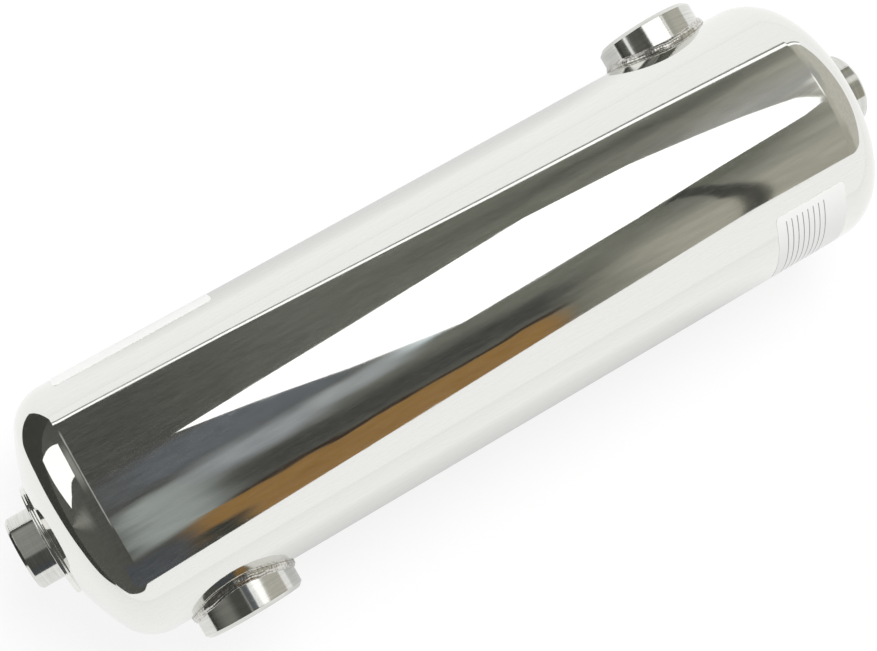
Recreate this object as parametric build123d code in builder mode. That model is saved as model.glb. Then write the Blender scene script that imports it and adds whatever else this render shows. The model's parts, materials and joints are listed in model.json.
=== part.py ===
from build123d import *
from math import acos, asin, cos, degrees, hypot, radians, sin, sqrt
import os

os.makedirs("parts", exist_ok=True)

# Stainless shell-and-tube pool heat exchanger, lying on its shell, in millimetres.
# X runs along the shell, Y along the two side sockets and Z up from the floor.
# The origin is on the floor, under the middle of the shell.

# Shell
shell_diameter = 133.0
shell_wall = 1.5
shell_length = 392.0

# The shell's lengthwise weld is underneath, ground to a narrow flat that it rests on
seam_flat_width = 6.0

# Pressed heads: a wide crown rounded into the shell, with a raised flat pad for the end socket.
# Their rims are ground a hair below the shell, which alone touches the floor
head_rim_step = 0.1
crown_radius = 119.7
knuckle_radius = 22.6
pad_diameter = 57.5
pad_rise = 2.25
pad_thickness = 3.0
pad_edge_radius = 0.8

# End sockets, for the heating water: half of a 1 in pipe socket, set through the pad
end_thread_minor = 30.29
end_socket_wall = 3.555
end_socket_length = 19.5
end_socket_reach = 13.6
end_mouth_chamfer = 1.4
end_thread_chamfer = 1.0
end_socket_clearance = 0.05

# Side sockets, for the pool water: 1 1/2 in pipe thread, cut to a saddle on the shell
side_thread_minor = 44.845
side_socket_wall = 3.98
side_relief_depth = 1.78
side_socket_reach = 12.5
side_socket_inset = 36.0
side_mouth_chamfer = 2.0
side_thread_chamfer = 1.2
side_seat_clearance = 0.05

# Weld bead round the foot of each side socket
weld_leg = 3.2
weld_crown_radius = 2.2
weld_clearance = 0.05

# Tube sheets, one inside each end of the shell
sheet_thickness = 4.0
sheet_inset = 0.5
sheet_clearance = 0.2

# Tube bundle: a hexagon of straight tubes round a middle one
tube_diameter = 16.0
tube_wall = 0.8
tube_pitch = 22.0
tube_rings = 2
tube_stand_out = 1.5
tube_fit_clearance = 0.1

# Segment baffles, cut away in turn above and below
baffle_count = 3
baffle_thickness = 2.0
baffle_edge_clearance = 0.6
baffle_hole_clearance = 0.3

# Sizes that follow from the ones above
shell_radius = shell_diameter / 2
shell_inner_radius = shell_radius - shell_wall
axis_height = shell_radius
seam_flat_depth = shell_radius - sqrt(shell_radius**2 - (seam_flat_width / 2) ** 2)
half_shell = shell_length / 2
row_spacing = tube_pitch * sin(radians(60))
tube_radius = tube_diameter / 2
side_thread_radius = side_thread_minor / 2
side_socket_radius = side_thread_radius + side_socket_wall
side_relief_radius = side_thread_radius + side_relief_depth
side_port_x = half_shell - side_socket_inset
side_mouth_y = shell_radius + side_socket_reach

knuckle_ring_radius = shell_radius - head_rim_step - knuckle_radius
crown_tangent_angle = asin(knuckle_ring_radius / (crown_radius - knuckle_radius))
crown_centre_x = half_shell - (crown_radius - knuckle_radius) * cos(crown_tangent_angle)
pad_radius = pad_diameter / 2
pad_root_angle = asin(pad_radius / crown_radius)
pad_face_x = crown_centre_x + crown_radius * cos(pad_root_angle) + pad_rise
pad_back_x = pad_face_x - pad_thickness
end_thread_radius = end_thread_minor / 2
end_socket_radius = end_thread_radius + end_socket_wall
end_mouth_x = pad_face_x + end_socket_reach


def across_shell(x):
    """Plane square to the shell's axis at x: its own X is +Y, its own Y is +Z."""
    return Plane(origin=(x, 0, axis_height), x_dir=(0, 1, 0), z_dir=(1, 0, 0))


def across_side_port(reach, side=1):
    """Plane square to a side socket's axis, this far out from the shell's axis, facing out.

    The right socket is side 1, towards +X and +Y. The left one is side -1.
    """
    return Plane(
        origin=(side * side_port_x, side * reach, axis_height),
        x_dir=(side, 0, 0),
        z_dir=(0, side, 0),
    )


def bundle_centres():
    """Centres of the tubes in the plane across the shell, row by row from the bottom."""
    centres = []
    for row in range(-tube_rings, tube_rings + 1):
        in_row = 2 * tube_rings + 1 - abs(row)
        for place in range(in_row):
            centres.append(((place - (in_row - 1) / 2) * tube_pitch, row * row_spacing))
    return centres


# Shell tube, with a flat along its ground seam and a round hole under each side socket
with BuildPart() as shell_tube:
    with BuildSketch(across_shell(-half_shell)):
        Circle(shell_radius)
        with Locations((0, -shell_radius)):
            Rectangle(2 * seam_flat_width, 2 * seam_flat_depth, mode=Mode.SUBTRACT)
        Circle(shell_inner_radius, mode=Mode.SUBTRACT)
    extrude(amount=shell_length)
    for side in (1, -1):
        with BuildSketch(across_side_port(0, side)):
            Circle(side_relief_radius)
        extrude(amount=shell_diameter, mode=Mode.SUBTRACT)
shell_tube.part.label = "shell_tube"
export_step(shell_tube.part, "parts/shell_tube.step")

# Heads: knuckle and crown turned about the shell's axis, thickened at the flat pad
pad_back_angle = acos((pad_back_x - crown_centre_x) / (crown_radius - shell_wall))
neck_radius = end_socket_radius + end_socket_clearance
profile_plane = Plane(origin=(0, 0, axis_height), x_dir=(1, 0, 0), z_dir=(0, -1, 0))


def head_arcs(depth_in_wall, crown_end_angle):
    """Knuckle and crown arcs at a depth below the outer face, the crown ending at an angle."""
    knuckle = CenterArc(
        (half_shell, knuckle_ring_radius),
        knuckle_radius - depth_in_wall,
        start_angle=degrees(crown_tangent_angle),
        arc_size=90 - degrees(crown_tangent_angle),
    )
    crown = CenterArc(
        (crown_centre_x, 0),
        crown_radius - depth_in_wall,
        start_angle=degrees(crown_end_angle),
        arc_size=degrees(crown_tangent_angle - crown_end_angle),
    )
    return knuckle @ 1, crown @ 0


with BuildPart() as right_head:
    with BuildSketch(profile_plane) as head_profile:
        with BuildLine():
            outer_rim, outer_end = head_arcs(0, pad_root_angle)
            inner_rim, inner_end = head_arcs(shell_wall, pad_back_angle)
            Line(outer_rim, inner_rim)
            Polyline(
                outer_end,
                (pad_face_x, pad_radius),
                (pad_face_x, neck_radius),
                (pad_back_x, neck_radius),
                inner_end,
            )
        make_face()
        pad_corner = head_profile.vertices().sort_by_distance((pad_face_x, pad_radius))[0]
        fillet(pad_corner, pad_edge_radius)
    revolve(axis=Axis((0, 0, axis_height), (1, 0, 0)))
right_head.part.label = "right_head"
export_step(right_head.part, "parts/right_head.step")

with BuildPart() as left_head:
    mirror(right_head.part, about=Plane.YZ)
left_head.part.label = "left_head"
export_step(left_head.part, "parts/left_head.step")

# End sockets, through the pads
with BuildPart() as right_end_socket:
    with BuildSketch(across_shell(end_mouth_x)):
        Circle(end_socket_radius)
        Circle(end_thread_radius, mode=Mode.SUBTRACT)
    extrude(amount=-end_socket_length)
    mouth = right_end_socket.edges().group_by(Axis.X)[-1].sort_by(SortBy.RADIUS)
    chamfer(mouth[-1], end_mouth_chamfer)
    mouth = right_end_socket.edges().group_by(Axis.X)[-1].sort_by(SortBy.RADIUS)
    chamfer(mouth[0], end_thread_chamfer)
right_end_socket.part.label = "right_end_socket"
export_step(right_end_socket.part, "parts/right_end_socket.step")

with BuildPart() as left_end_socket:
    mirror(right_end_socket.part, about=Plane.YZ)
left_end_socket.part.label = "left_end_socket"
export_step(left_end_socket.part, "parts/left_end_socket.step")

# Side sockets: rings whose feet are cut to the round of the shell, the left one turned
# half a turn about the upright through the middle
with BuildPart() as right_side_socket:
    with BuildSketch(across_side_port(side_mouth_y)):
        Circle(side_socket_radius)
        Circle(side_thread_radius, mode=Mode.SUBTRACT)
    extrude(amount=-side_mouth_y)
    mouth = right_side_socket.edges().group_by(Axis.Y)[-1].sort_by(SortBy.RADIUS)
    chamfer(mouth[-1], side_mouth_chamfer)
    mouth = right_side_socket.edges().group_by(Axis.Y)[-1].sort_by(SortBy.RADIUS)
    chamfer(mouth[0], side_thread_chamfer)
    with BuildSketch(across_side_port(0)):
        Circle(side_relief_radius)
    extrude(amount=shell_radius, mode=Mode.SUBTRACT)
    with BuildSketch(across_shell(side_port_x - 2 * side_socket_radius)):
        Circle(shell_radius + side_seat_clearance)
    extrude(amount=4 * side_socket_radius, mode=Mode.SUBTRACT)
right_side_socket.part.label = "right_side_socket"
export_step(right_side_socket.part, "parts/right_side_socket.step")

with BuildPart() as left_side_socket:
    add(right_side_socket.part, rotation=(0, 0, 180))
left_side_socket.part.label = "left_side_socket"
export_step(left_side_socket.part, "parts/left_side_socket.step")

# Weld beads: a saddle-shaped ring in the corner between socket and shell, crowned outside
weld_inner_radius = side_socket_radius + weld_clearance
weld_outer_radius = weld_inner_radius + weld_leg
weld_root_radius = shell_radius + weld_clearance
weld_top_radius = weld_root_radius + weld_leg


def is_weld_crown(edge):
    """True for the edges along the bead's outer corner."""
    point = edge @ 0.5
    from_port = hypot(point.X - side_port_x, point.Z - axis_height)
    from_shell = hypot(point.Y, point.Z - axis_height)
    return abs(from_port - weld_outer_radius) < 0.01 and abs(from_shell - weld_top_radius) < 0.01


with BuildPart() as right_side_weld:
    with BuildSketch(across_side_port(0)):
        Circle(weld_outer_radius)
        Circle(weld_inner_radius, mode=Mode.SUBTRACT)
    extrude(amount=side_mouth_y)
    with BuildSketch(across_shell(side_port_x - weld_outer_radius - weld_leg)):
        Circle(weld_top_radius)
        Circle(weld_root_radius, mode=Mode.SUBTRACT)
    extrude(amount=2 * (weld_outer_radius + weld_leg), mode=Mode.INTERSECT)
    fillet(right_side_weld.edges().filter_by(is_weld_crown), weld_crown_radius)
right_side_weld.part.label = "right_side_weld"
export_step(right_side_weld.part, "parts/right_side_weld.step")

with BuildPart() as left_side_weld:
    add(right_side_weld.part, rotation=(0, 0, 180))
left_side_weld.part.label = "left_side_weld"
export_step(left_side_weld.part, "parts/left_side_weld.step")

# Tube sheets
sheet_face_x = half_shell - sheet_inset
with BuildPart() as right_tube_sheet:
    with BuildSketch(across_shell(sheet_face_x)):
        Circle(shell_inner_radius - sheet_clearance)
        with Locations(bundle_centres()):
            Circle(tube_radius + tube_fit_clearance, mode=Mode.SUBTRACT)
    extrude(amount=-sheet_thickness)
right_tube_sheet.part.label = "right_tube_sheet"
export_step(right_tube_sheet.part, "parts/right_tube_sheet.step")

with BuildPart() as left_tube_sheet:
    mirror(right_tube_sheet.part, about=Plane.YZ)
left_tube_sheet.part.label = "left_tube_sheet"
export_step(left_tube_sheet.part, "parts/left_tube_sheet.step")

# Baffles: discs with the outer row of tubes left free, above and below in turn
baffle_radius = shell_inner_radius - baffle_edge_clearance
baffle_cut_height = (tube_rings - 0.5) * row_spacing
for number in range(1, baffle_count + 1):
    baffle_x = -half_shell + number * shell_length / (baffle_count + 1)
    open_side = 1 if number % 2 else -1
    with BuildPart() as baffle:
        with BuildSketch(across_shell(baffle_x - baffle_thickness / 2)):
            Circle(baffle_radius)
            with Locations(bundle_centres()):
                Circle(tube_radius + baffle_hole_clearance, mode=Mode.SUBTRACT)
            with Locations((0, open_side * (baffle_cut_height + baffle_radius))):
                Rectangle(2 * baffle_radius, 2 * baffle_radius, mode=Mode.SUBTRACT)
        extrude(amount=baffle_thickness)
    baffle.part.label = f"baffle_{number}"
    export_step(baffle.part, f"parts/baffle_{number}.step")

# Tubes, each standing a little out of both sheets
tube_half_length = sheet_face_x + tube_stand_out
for number, centre in enumerate(bundle_centres(), start=1):
    with BuildPart() as tube:
        with BuildSketch(across_shell(-tube_half_length)):
            with Locations(centre):
                Circle(tube_radius)
                Circle(tube_radius - tube_wall, mode=Mode.SUBTRACT)
        extrude(amount=2 * tube_half_length)
    tube.part.label = f"tube_{number:02d}"
    export_step(tube.part, f"parts/tube_{number:02d}.step")

print(f"overall length {2 * end_mouth_x:.1f}, width {2 * side_mouth_y:.1f}, height {shell_diameter:.1f}")
print(f"end mouth {end_mouth_x - half_shell:.1f} beyond the shell, {len(bundle_centres())} tubes")
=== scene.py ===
"""Looks of a mirror-polished stainless pool heat exchanger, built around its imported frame.

The shell, the dished heads, the threaded sockets, their weld beads and the drawn tubes are
surfaces worked out with numpy. The tube sheets and baffles keep their own solids and get their
finishes here. Shapes are worked out in millimetres and become metres when a mesh is made. The
origin is on the floor under the middle of the shell, X runs along it and Z points up.
"""

from __future__ import annotations

import json
import logging
import math
from dataclasses import dataclass, field
from enum import Enum
from functools import cache

import bpy
import numpy as np
from mathutils import Matrix, Vector
from numpy.typing import NDArray


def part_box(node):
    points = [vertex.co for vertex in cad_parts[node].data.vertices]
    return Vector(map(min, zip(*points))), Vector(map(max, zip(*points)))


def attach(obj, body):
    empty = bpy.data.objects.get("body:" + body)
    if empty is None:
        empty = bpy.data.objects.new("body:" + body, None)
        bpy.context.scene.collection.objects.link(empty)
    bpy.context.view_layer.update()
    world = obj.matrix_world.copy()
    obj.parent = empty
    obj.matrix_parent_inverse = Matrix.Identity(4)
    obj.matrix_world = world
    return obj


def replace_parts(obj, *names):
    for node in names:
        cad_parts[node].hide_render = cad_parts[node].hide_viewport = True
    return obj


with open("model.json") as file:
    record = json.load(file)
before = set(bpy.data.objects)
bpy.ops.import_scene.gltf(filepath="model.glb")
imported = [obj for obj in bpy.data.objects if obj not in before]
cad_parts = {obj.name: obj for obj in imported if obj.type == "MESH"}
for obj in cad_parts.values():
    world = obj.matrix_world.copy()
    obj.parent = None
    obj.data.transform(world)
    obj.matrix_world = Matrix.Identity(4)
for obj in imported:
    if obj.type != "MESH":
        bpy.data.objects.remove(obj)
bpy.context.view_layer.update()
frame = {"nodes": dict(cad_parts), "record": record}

Array = NDArray[np.float64]
Pair = tuple[float, float]
Triple = tuple[float, float, float]
Tree = bpy.types.NodeTree
Node = bpy.types.Node
Output = bpy.types.NodeSocket
MM = 0.001
FULL_TURN = 2 * math.pi
WHITE = "#ffffff"
# Points in the same cell of this grid, in millimetres, become one vertex. The shift keeps round
# numbers off the cells' borders
WELD_GRAIN = 0.001
GRAIN_SHIFT = 0.317
# Slack in millimetres where grid lines are picked by their length
SLACK = 0.01

log = logging.getLogger("heat_exchanger")


class Slot(Enum):
    """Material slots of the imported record."""

    SHELL = "polished_shell"
    SOCKETS = "polished_sockets"
    WELD = "weld_metal"
    SHEETS = "tube_sheets"
    BAFFLES = "baffles"
    TUBES = "tubes"


class Side(Enum):
    """Ends of the exchanger. The right one points to +X, and its side socket to +Y."""

    RIGHT = 1
    LEFT = -1

    @property
    def label(self) -> str:
        """Word that starts the names of this side's pieces."""
        return self.name.lower()


# Materials


def linear(hex_colour: str) -> tuple[float, float, float, float]:
    """Turns an sRGB hex value into a linear colour.

    Args:
        hex_colour: The value, such as "#a0a0a0".

    Returns:
        Red, green, blue and an alpha of one.
    """
    parts = [int(hex_colour[i : i + 2], 16) / 255 for i in (1, 3, 5)]
    red, green, blue = (p / 12.92 if p <= 0.04045 else ((p + 0.055) / 1.055) ** 2.4 for p in parts)
    return red, green, blue, 1.0


def add_node(
    tree: Tree,
    kind: str,
    sockets: dict[str | int, object] | None = None,
    stops: tuple[tuple[float, str], ...] = (),
    **settings: object,
) -> Node:
    """Adds one node to a tree, sets it up and wires its inputs.

    Args:
        tree: The node tree.
        kind: The node's type name, less the ShaderNode that each starts with.
        sockets: For each input by name or number, its value or the output to link. A node
            stands for its first output.
        stops: A colour ramp's stops, each as (place, sRGB hex).
        settings: Values for the node's own attributes.

    Returns:
        The new node.
    """
    made = tree.nodes.new(f"ShaderNode{kind}")
    for name, value in settings.items():
        setattr(made, name, value)
    for name, value in (sockets or {}).items():
        if isinstance(value, Node):
            value = value.outputs[0]
        if isinstance(value, Output):
            tree.links.new(value, made.inputs[name])
        else:
            made.inputs[name].default_value = value
    if stops:
        elements = made.color_ramp.elements
        for _ in stops[len(elements) :]:
            elements.new(0.5)
        for element, (place, colour) in zip(elements, stops):
            element.position = place
            element.color = linear(colour)
    return made


@dataclass(frozen=True)
class Finish:
    """A finish, made into a material once. Each kind of finish wires its own shader."""

    name: str

    @cache
    def material(self) -> bpy.types.Material:
        """Builds the material.

        Returns:
            The material, the same one at each call.
        """
        material = bpy.data.materials.new(self.name)
        material.use_nodes = True
        tree = material.node_tree
        tree.nodes.clear()
        add_node(tree, "OutputMaterial", {"Surface": self.shader(tree)})
        return material

    def shader(self, tree: Tree) -> Node:
        """Wires the finish in an empty tree. Each kind has its own."""
        raise NotImplementedError


@dataclass(frozen=True)
class MirrorSteel(Finish):
    """304 stainless, pressed and buffed with compound until it mirrors.

    The eye gets a near-perfect reflection that is a little warm and grey. Faint hairlines from
    the last polishing wheel catch the light, and a thin veil of them lies over dark reflections.
    Real hairlines are far finer, and these are as coarse as they need to be to show. A range is
    the noise at which its marks start and are full, and the most that haze or veil counts.
    """

    tint: str = "#e7e7e3"
    roughness: float = 0.035
    haze_roughness: float = 0.13
    haze_mm: float = 70.0
    haze_range: Triple = (0.46, 0.72, 0.45)
    hairline_mm: float = 0.55
    hairline_depth_mm: float = 0.0012
    hairline_stretch: Triple = (1.0, 18.0, 6.0)
    hairline_lean_deg: float = 35.0
    hairline_turns_deg: Triple = (24.0, -52.0, 78.0)
    hairline_range: Pair = (0.66, 0.82)
    veil_range: Triple = (0.48, 0.76, 0.07)
    veil_roughness: float = 0.42

    def shader(self, tree: Tree) -> Node:
        """Mixes mirror and veil by noises in Object coordinates, three of them stretched.

        Args:
            tree: The material's empty tree.

        Returns:
            The mixed shader.
        """
        place = add_node(tree, "TexCoord").outputs["Object"]
        haze_scale = 1 / (self.haze_mm * MM)
        line_scale = 1 / (self.hairline_stretch[1] * self.hairline_mm * MM)
        haze = add_node(
            tree,
            "TexNoise",
            {"Vector": place, "Scale": haze_scale, "Detail": 3.0, "Distortion": 0.6},
        )
        lines: Node | float = 0.0
        for turn in self.hairline_turns_deg:
            angles = [math.radians(a) for a in (self.hairline_lean_deg, turn / 3, turn)]
            turned = add_node(
                tree,
                "Mapping",
                {"Vector": place, "Rotation": angles, "Scale": self.hairline_stretch},
            )
            layer = add_node(
                tree,
                "TexNoise",
                {"Vector": turned, "Scale": line_scale, "Detail": 2.0, "Distortion": 0.8},
            )
            lines = add_node(tree, "Math", {0: lines, 1: layer}, operation="MAXIMUM")
        low, high = self.hairline_range
        marks = add_node(tree, "MapRange", {"Value": lines, "From Min": low, "From Max": high})
        hazy, share = (
            add_node(
                tree,
                "MapRange",
                {"Value": value, "From Min": low, "From Max": high, "To Max": most},
            )
            for value, (low, high, most) in ((haze, self.haze_range), (lines, self.veil_range))
        )
        worn = add_node(tree, "Math", {0: hazy, 1: marks}, operation="MAXIMUM")
        rough = add_node(
            tree,
            "MapRange",
            {"Value": worn, "To Min": self.roughness, "To Max": self.haze_roughness},
        )
        depth = self.hairline_depth_mm * MM
        bump = add_node(tree, "Bump", {"Height": marks, "Distance": depth, "Strength": 0.6})
        base = {"Base Color": linear(self.tint), "Metallic": 1.0, "Normal": bump}
        mirror, veil = (
            add_node(tree, "BsdfPrincipled", {**base, "Roughness": value})
            for value in (rough, self.veil_roughness)
        )
        return add_node(tree, "MixShader", {0: share, 1: mirror, 2: veil})


@dataclass(frozen=True)
class WorkedSteel(Finish):
    """Stainless as a machine leaves it: milled, drawn, turned or welded.

    The eye gets soft, streaky reflections that follow the tool, darker and duller than a
    buffed face.
    """

    tint: str
    dark_tint: str
    roughness: float
    rough_spread: float
    grain_mm: float
    stretch: Triple
    depth_mm: float

    def shader(self, tree: Tree) -> Node:
        """Shades with one noise, stretched along the tool's way, in Object coordinates.

        Args:
            tree: The material's empty tree.

        Returns:
            The shader.
        """
        place = add_node(tree, "TexCoord").outputs["Object"]
        along = add_node(tree, "Mapping", {"Vector": place, "Scale": self.stretch})
        scale = 1 / (self.grain_mm * MM)
        grain = add_node(tree, "TexNoise", {"Vector": along, "Scale": scale, "Detail": 5.0})
        stops = ((0.3, self.dark_tint), (0.6, self.tint))
        low, high = self.roughness - self.rough_spread, self.roughness + self.rough_spread
        rough = add_node(tree, "MapRange", {"Value": grain, "To Min": low, "To Max": high})
        depth = self.depth_mm * MM
        bump = add_node(tree, "Bump", {"Height": grain, "Distance": depth, "Strength": 0.5})
        return add_node(
            tree,
            "BsdfPrincipled",
            {
                "Base Color": add_node(tree, "ValToRGB", {0: grain}, stops),
                "Metallic": 1.0,
                "Roughness": rough,
                "Normal": bump,
            },
        )


@dataclass(frozen=True)
class StickerFilm(Finish):
    """White polypropylene label film, smooth and half matt, with a faint unevenness from glue.

    A ruled one has plain thin grey rules across it, as wide apart as rule_pitch_mm. They lie
    between two lengths along the shell and two heights over the floor.
    """

    ruled_x_mm: Pair = (0.0, 0.0)
    ruled_z_mm: Pair = (0.0, 0.0)
    tint: str = "#f4f5f2"
    roughness: float = 0.34
    ior: float = 1.49
    wrinkle_mm: float = 9.0
    wrinkle_depth_mm: float = 0.02
    rule_pitch_mm: float = 3.2
    rule_width_mm: float = 0.5
    rule_tint: str = "#8d8f8c"

    def rules(self, tree: Tree, place: Output) -> Node:
        """Mask of the rules: one where a line lies and zero on the bare film.

        Args:
            tree: The film's node tree.
            place: Object coordinates in metres.

        Returns:
            The node whose output is the mask.
        """
        split = add_node(tree, "SeparateXYZ", {0: place})
        half_pitch, half_width = (d / 2 * MM for d in (self.rule_pitch_mm, self.rule_width_mm))
        wave = add_node(tree, "Math", {0: split.outputs["X"], 1: half_pitch}, operation="PINGPONG")
        mask = add_node(tree, "Math", {0: wave, 1: half_width}, operation="LESS_THAN")
        for axis, limits in (("X", self.ruled_x_mm), ("Z", self.ruled_z_mm)):
            for limit, test in zip(limits, ("GREATER_THAN", "LESS_THAN")):
                sockets = {0: split.outputs[axis], 1: limit * MM}
                inside = add_node(tree, "Math", sockets, operation=test)
                mask = add_node(tree, "Math", {0: mask, 1: inside}, operation="MULTIPLY")
        return mask

    def shader(self, tree: Tree) -> Node:
        """Shades the film, with a slow noise for the glue under it.

        Args:
            tree: The material's empty tree.

        Returns:
            The shader.
        """
        place = add_node(tree, "TexCoord").outputs["Object"]
        scale, depth = 1 / (self.wrinkle_mm * MM), self.wrinkle_depth_mm * MM
        glue = add_node(tree, "TexNoise", {"Vector": place, "Scale": scale, "Detail": 2.0})
        bump = add_node(tree, "Bump", {"Height": glue, "Distance": depth, "Strength": 0.4})
        stops = ((0.0, self.tint), (1.0, self.rule_tint))
        return add_node(
            tree,
            "BsdfPrincipled",
            {
                "Base Color": add_node(tree, "ValToRGB", {0: self.rules(tree, place)}, stops),
                "Roughness": self.roughness,
                "IOR": self.ior,
                "Normal": bump,
            },
        )


@dataclass(frozen=True)
class Glow(Finish):
    """A lit or dark studio card, as even as paper: it only gives off its colour."""

    colour: str
    strength: float

    def shader(self, tree: Tree) -> Node:
        """One emission of the card's colour."""
        sockets = {"Color": linear(self.colour), "Strength": self.strength}
        return add_node(tree, "Emission", sockets)


@dataclass(frozen=True)
class SweepPaper(Finish):
    """White paper sweep that glows a little, so that it is white and still takes a soft shadow.

    Reflections see its glow fade towards the part, as the shadow under the wall does.
    """

    half_shell: float
    glow: float = 1.03
    matt_share: float = 0.24
    matt_tint: float = 0.93
    shadow_start: float = 60.0
    shadow_reach: float = 260.0
    shadow_depth: float = 0.42

    def shader(self, tree: Tree) -> Node:
        """Mixes glow and matt paper. The glow's loss is a fade along Y times one along X.

        Args:
            tree: The material's empty tree.

        Returns:
            The mixed shader.
        """
        place = add_node(tree, "TexCoord").outputs["Object"]
        split = add_node(tree, "SeparateXYZ", {0: place})
        loss = add_node(tree, "LightPath").outputs["Is Glossy Ray"]
        for axis, near, far, depth in (
            ("Y", self.shadow_start, self.shadow_reach, self.shadow_depth),
            ("X", self.half_shell - self.shadow_start, self.half_shell, 1.0),
        ):
            away = add_node(tree, "Math", {0: split.outputs[axis]}, operation="ABSOLUTE")
            span = {"From Min": near * MM, "From Max": far * MM, "To Min": depth, "To Max": 0.0}
            fade = add_node(tree, "MapRange", {"Value": away, **span})
            loss = add_node(tree, "Math", {0: loss, 1: fade}, operation="MULTIPLY")
        strength = add_node(tree, "Math", {0: self.glow, 1: loss}, operation="SUBTRACT")
        grey = (self.matt_tint, self.matt_tint, self.matt_tint, 1)
        matt = add_node(tree, "BsdfDiffuse", {"Color": grey})
        glow = add_node(tree, "Emission", {"Color": linear(WHITE), "Strength": strength})
        return add_node(tree, "MixShader", {0: self.matt_share, 1: glow, 2: matt})


MIRROR = MirrorSteel("stainless_mirror_polished")
# End rings are turned about the shell's axis and lightly buffed, so that fine lines stay
END_RING = WorkedSteel(
    "stainless_turned_end_ring", "#dcdcd8", "#cdcdc8",
    roughness=0.1, rough_spread=0.04, grain_mm=0.7,
    stretch=(1, 0.03, 0.03), depth_mm=0.004,
)
# Side rings have their lines about the socket's own axis
SIDE_RING = WorkedSteel(
    "stainless_turned_side_ring", "#dcdcd8", "#cdcdc8",
    roughness=0.12, rough_spread=0.04, grain_mm=0.7,
    stretch=(0.03, 1, 0.03), depth_mm=0.004,
)
# Cut threads are bare machined metal, greyer and duller than the ring
THREAD = WorkedSteel(
    "stainless_cut_thread", "#c9c9c4", "#a3a39e",
    roughness=0.26, rough_spread=0.06, grain_mm=0.6,
    stretch=(1, 1, 1), depth_mm=0.01,
)
# A gas-shielded bead cools bright in its ripples and straw to grey at its toes
WELD = WorkedSteel(
    "stainless_weld_bead", "#d8d6d0", "#9c9a93",
    roughness=0.17, rough_spread=0.07, grain_mm=1.3,
    stretch=(1, 1, 1), depth_mm=0.012,
)
# The inside of the rolled shell and heads is left with its mill finish
MILL = WorkedSteel(
    "stainless_mill_finish", "#b9b8b3", "#9d9c97",
    roughness=0.34, rough_spread=0.08, grain_mm=3.0,
    stretch=(0.3, 1, 1), depth_mm=0.01,
)
# Drawn tubes carry fine lines along their length
DRAWN = WorkedSteel(
    "stainless_drawn_tube", "#c4c4bf", "#a6a6a1",
    roughness=0.22, rough_spread=0.07, grain_mm=1.2,
    stretch=(0.05, 1, 1), depth_mm=0.008,
)
# Sheets and baffles are laser-cut plate
PLATE = WorkedSteel(
    "stainless_cut_plate", "#bcbbb6", "#9a9994",
    roughness=0.32, rough_spread=0.08, grain_mm=1.6,
    stretch=(1, 0.25, 1), depth_mm=0.01,
)
FILM = StickerFilm("polypropylene_film_white")
RULED_FILM = StickerFilm(
    "polypropylene_film_ruled", ruled_x_mm=(151.0, 177.5), ruled_z_mm=(74.0, 116.0)
)


# Grids, outlines and meshes


@dataclass
class Surface:
    """A grid of points in millimetres, with a unit normal at each, and its finish's place."""

    points: Array
    normals: Array
    finish: int = 0

    def faces(self) -> NDArray[np.int64]:
        """Corner numbers of the grid's quads, wound so that they face along rows × columns.

        Returns:
            One row of four corners for each quad.
        """
        rows, columns = self.points.shape[:2]
        corner = np.arange(rows * columns).reshape(rows, columns)
        quads = [corner[:-1, :-1], corner[1:, :-1], corner[1:, 1:], corner[:-1, 1:]]
        return np.stack(quads, axis=-1).reshape(-1, 4)

    def wound(self) -> Surface:
        """Puts the rows in reverse where the faces point against the normals.

        Returns:
            The same surface, its faces along its normals.
        """
        down = np.diff(self.points, axis=0)[:, :-1]
        over = np.diff(self.points, axis=1)[:-1]
        if (np.cross(down, over) * self.normals[:-1, :-1]).sum() >= 0:
            return self
        return Surface(self.points[::-1], self.normals[::-1], self.finish)


def unit(vectors: Array) -> Array:
    """Vectors scaled to length one along their last axis."""
    return vectors / np.linalg.norm(vectors, axis=-1, keepdims=True)


def shares(steps: int) -> Array:
    """Shares of the way from nought to one, as a column."""
    return np.linspace(0, 1, steps + 1)[:, None]


def turns(columns: int) -> Array:
    """Turns round a full circle in radians, as a row."""
    return np.linspace(0, FULL_TURN, columns + 1)[None, :]


def ring_normals(points: Array) -> Array:
    """Normals of a grid whose last column repeats its first one.

    Each is the cross product of the step down the rows and the step round the columns, both
    taken as central differences.

    Args:
        points: Grid of shape (rows, columns, 3) with at least three rows.

    Returns:
        Unit normals in the same shape.
    """
    down = np.gradient(points, axis=0, edge_order=2)
    ring = points[:, :-1]
    around = np.roll(ring, -1, axis=1) - np.roll(ring, 1, axis=1)
    around = np.concatenate([around, around[:, :1]], axis=1)
    return unit(np.cross(down, around))


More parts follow.
